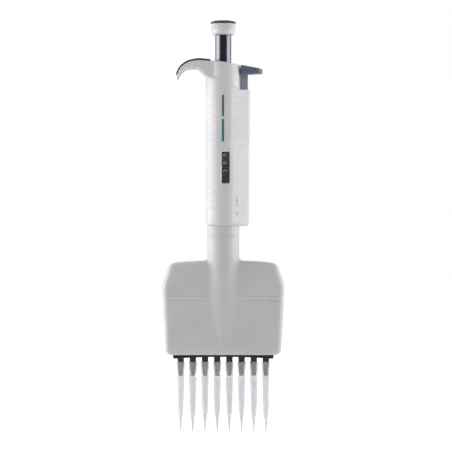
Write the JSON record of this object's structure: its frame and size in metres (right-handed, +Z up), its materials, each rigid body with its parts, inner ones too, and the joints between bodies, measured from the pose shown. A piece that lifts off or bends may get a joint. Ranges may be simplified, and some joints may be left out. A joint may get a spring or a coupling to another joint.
{
  "type": "multichannel pipette with tips",
  "caption": "Adjustable multichannel hand pipette: push button, finger hook, side tip ejector, volume display, swivelling manifold and a row of removable tips.",
  "frame": {"origin": "on the pipette's main axis, level with the ends of the tips", "axes": "+Z up along the main axis towards the push button, +X towards the tip ejector, +Y to the back; the display faces -Y"},
  "size_m": [0.0902, 0.0256, 0.305],
  "materials": {
    "white_plastic": "fine satin moulded plastic",
    "grey_plastic": "fine satin moulded plastic",
    "pad_rubber": "soft matt",
    "slate_plastic": "satin blue-grey",
    "black_plastic": "smooth black",
    "clear_plastic": "clear polished",
    "frosted_plastic": "milky translucent polypropylene",
    "steel": "polished",
    "brass": "turned",
    "seal_rubber": "matt",
    "drum_plastic": "matt black"
  },
  "bodies": {
    "handle": {"handle_body": "white_plastic", "upper_housing": "white_plastic", "hook_pad": "pad_rubber", "window_lens": "clear_plastic", "inner_barrel": "grey_plastic", "retaining_nut": "steel", "swivel_collar": "grey_plastic", "plunger_bush": "grey_plastic", "main_spring": "steel", "blowout_spring": "steel", "ejector_spring": "steel", "blank_drum": "drum_plastic"},
    "plunger": {"thrust_collar": "brass"},
    "knob": {"push_button": "white_plastic", "button_cap": "pad_rubber", "plunger_rod": "steel", "drive_shaft": "steel"},
    "units_counter": {"units_drum": "drum_plastic"},
    "tens_counter": {"tens_drum": "drum_plastic"},
    "hundreds_counter": {"hundreds_drum": "drum_plastic"},
    "screw": {"volume_screw": "brass"},
    "stop": {"stop_nut": "steel"},
    "ejector_lever": {"ejector_button": "slate_plastic", "ejector_rod": "steel"},
    "manifold": {"manifold_front_cover": "grey_plastic", "manifold_rear_cover": "grey_plastic", "swivel_hub": "grey_plastic", "cylinder_plate": "grey_plastic", "piston_seal_strip": "seal_rubber", "nozzle_1": "black_plastic", "nozzle_2": "black_plastic", "nozzle_3": "black_plastic", "nozzle_4": "black_plastic", "nozzle_5": "black_plastic", "nozzle_6": "black_plastic", "nozzle_7": "black_plastic", "nozzle_8": "black_plastic"},
    "piston_carriage": {"piston_bar": "steel", "push_rod": "steel", "piston_1": "steel", "piston_2": "steel", "piston_3": "steel", "piston_4": "steel", "piston_5": "steel", "piston_6": "steel", "piston_7": "steel", "piston_8": "steel"},
    "ejector_carriage": {"ejector_yoke": "steel", "ejector_bar": "black_plastic"},
    "tips": {"tip_1": "frosted_plastic", "tip_2": "frosted_plastic", "tip_3": "frosted_plastic", "tip_4": "frosted_plastic", "tip_5": "frosted_plastic", "tip_6": "frosted_plastic", "tip_7": "frosted_plastic", "tip_8": "frosted_plastic"}
  },
  "joints": [
    {"name": "plunger_press", "type": "slide", "parent": "handle", "child": "plunger", "axis": [0, 0, -1], "range_m": [0, 0.0166], "stiffness_N_per_m": 400, "springref_m": -0.004, "deforming": ["main_spring", "blowout_spring"]},
    {"name": "volume_turn", "type": "hinge", "parent": "plunger", "child": "knob", "pos_m": [0, 0, 0.3015], "axis": [0, 0, 1], "range_deg": [-4860, 0]},
    {"name": "units_drum_turn", "type": "hinge", "parent": "handle", "child": "units_counter", "pos_m": [0, 0, 0.2044], "axis": [0, 0, 1], "range_deg": [-9720, 0]},
    {"name": "tens_drum_turn", "type": "hinge", "parent": "handle", "child": "tens_counter", "pos_m": [0, 0, 0.1985], "axis": [0, 0, 1], "range_deg": [-972, 0]},
    {"name": "hundreds_drum_turn", "type": "hinge", "parent": "handle", "child": "hundreds_counter", "pos_m": [0, 0, 0.1926], "axis": [0, 0, 1], "range_deg": [-97.2, 0]},
    {"name": "volume_screw_turn", "type": "hinge", "parent": "handle", "child": "screw", "pos_m": [0, 0, 0.22], "axis": [0, 0, 1], "range_deg": [-4860, 0]},
    {"name": "stop_nut_rise", "type": "slide", "parent": "handle", "child": "stop", "axis": [0, 0, 1], "range_m": [0, 0.01269], "stiffness_N_per_m": 0.02, "springref_m": 2.17},
    {"name": "ejector_press", "type": "slide", "parent": "handle", "child": "ejector_lever", "axis": [0, 0, -1], "range_m": [0, 0.011], "stiffness_N_per_m": 450, "springref_m": -0.003, "deforming": ["ejector_spring"]},
    {"name": "manifold_swivel", "type": "hinge", "parent": "handle", "child": "manifold", "pos_m": [0, 0, 0.1451], "axis": [0, 0, 1], "continuous": true},
    {"name": "piston_stroke", "type": "slide", "parent": "manifold", "child": "piston_carriage", "axis": [0, 0, -1], "range_m": [0, 0.0166]},
    {"name": "ejector_bar_slide", "type": "slide", "parent": "manifold", "child": "ejector_carriage", "axis": [0, 0, -1], "range_m": [0, 0.011]},
    {"name": "tips_eject", "type": "slide", "parent": "manifold", "child": "tips", "axis": [0, 0, -1], "range_m": [0, 0.011]}
  ],
  "couplings": [
    {"joint": "units_drum_turn", "follows": "volume_turn", "ratio": 2},
    {"joint": "tens_drum_turn", "follows": "volume_turn", "ratio": 0.2},
    {"joint": "hundreds_drum_turn", "follows": "volume_turn", "ratio": 0.02},
    {"joint": "volume_screw_turn", "follows": "volume_turn", "ratio": 1},
    {"joint": "stop_nut_rise", "follows": "volume_turn", "m_per_rad": -0.00014961},
    {"joint": "piston_stroke", "follows": "plunger_press", "ratio": 1},
    {"joint": "ejector_bar_slide", "follows": "ejector_press", "ratio": 1},
    {"joint": "tips_eject", "follows": "ejector_press", "ratio": 1}
  ]
}
